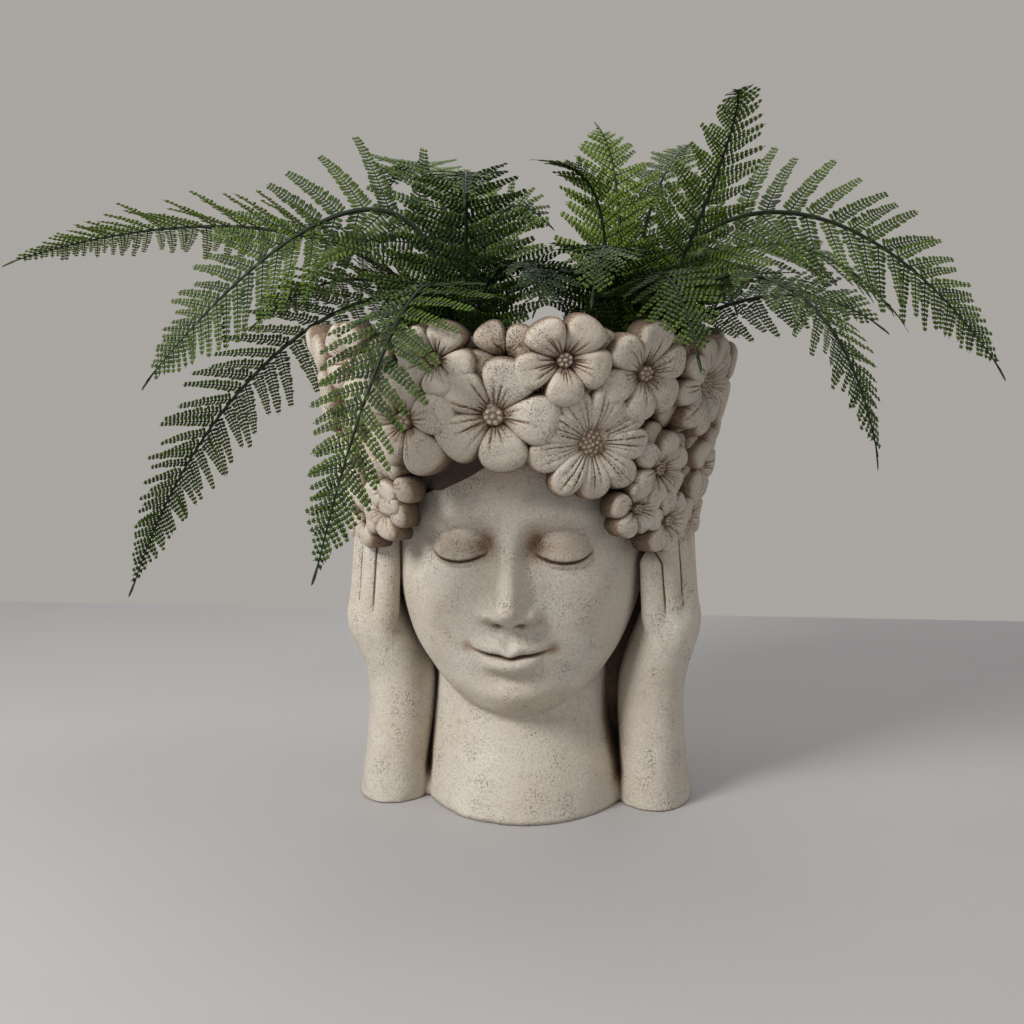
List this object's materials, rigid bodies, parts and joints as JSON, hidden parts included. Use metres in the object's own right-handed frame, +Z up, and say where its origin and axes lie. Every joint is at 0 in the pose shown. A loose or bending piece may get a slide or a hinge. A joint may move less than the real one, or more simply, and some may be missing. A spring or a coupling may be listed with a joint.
{
  "type": "head planter",
  "caption": "Cast stone planter shaped as a flower-crowned head held between two hands, with lift-out foam and two sprays of moulded fern.",
  "frame": {"origin": "on the table, at the middle of the drain hole in the floor of the pot", "axes": "+Z up along the drain hole, the face looks along -Y, +X to the right of somebody who looks at the face"},
  "size_m": [0.6408, 0.3252, 0.4134],
  "materials": {
    "cast_stone": "matte",
    "dry_foam": "matte",
    "fern_stem": "satin",
    "fern_leaf": "satin"
  },
  "bodies": {
    "planter": {"planter_body": "cast_stone"},
    "foam": {"foam_block": "dry_foam"},
    "left_bush": {"left_bush_stem": "fern_stem", "left_frond_1": "fern_leaf", "left_frond_2": "fern_leaf", "left_frond_3": "fern_leaf", "left_frond_4": "fern_leaf", "left_frond_5": "fern_leaf", "left_frond_6": "fern_leaf", "left_frond_7": "fern_leaf", "left_frond_8": "fern_leaf"},
    "right_bush": {"right_bush_stem": "fern_stem", "right_frond_1": "fern_leaf", "right_frond_2": "fern_leaf", "right_frond_3": "fern_leaf", "right_frond_4": "fern_leaf", "right_frond_5": "fern_leaf", "right_frond_6": "fern_leaf", "right_frond_7": "fern_leaf", "right_frond_8": "fern_leaf", "right_frond_9": "fern_leaf", "right_frond_10": "fern_leaf", "right_frond_11": "fern_leaf"}
  },
  "joints": [
    {"name": "foam_lift", "type": "slide", "parent": "planter", "child": "foam", "axis": [0, 0, 1], "range_m": [0, 0.12]},
    {"name": "left_bush_lift", "type": "slide", "parent": "foam", "child": "left_bush", "axis": [0, 0, 1], "range_m": [0, 0.08]},
    {"name": "right_bush_lift", "type": "slide", "parent": "foam", "child": "right_bush", "axis": [0, 0, 1], "range_m": [0, 0.08]}
  ]
}
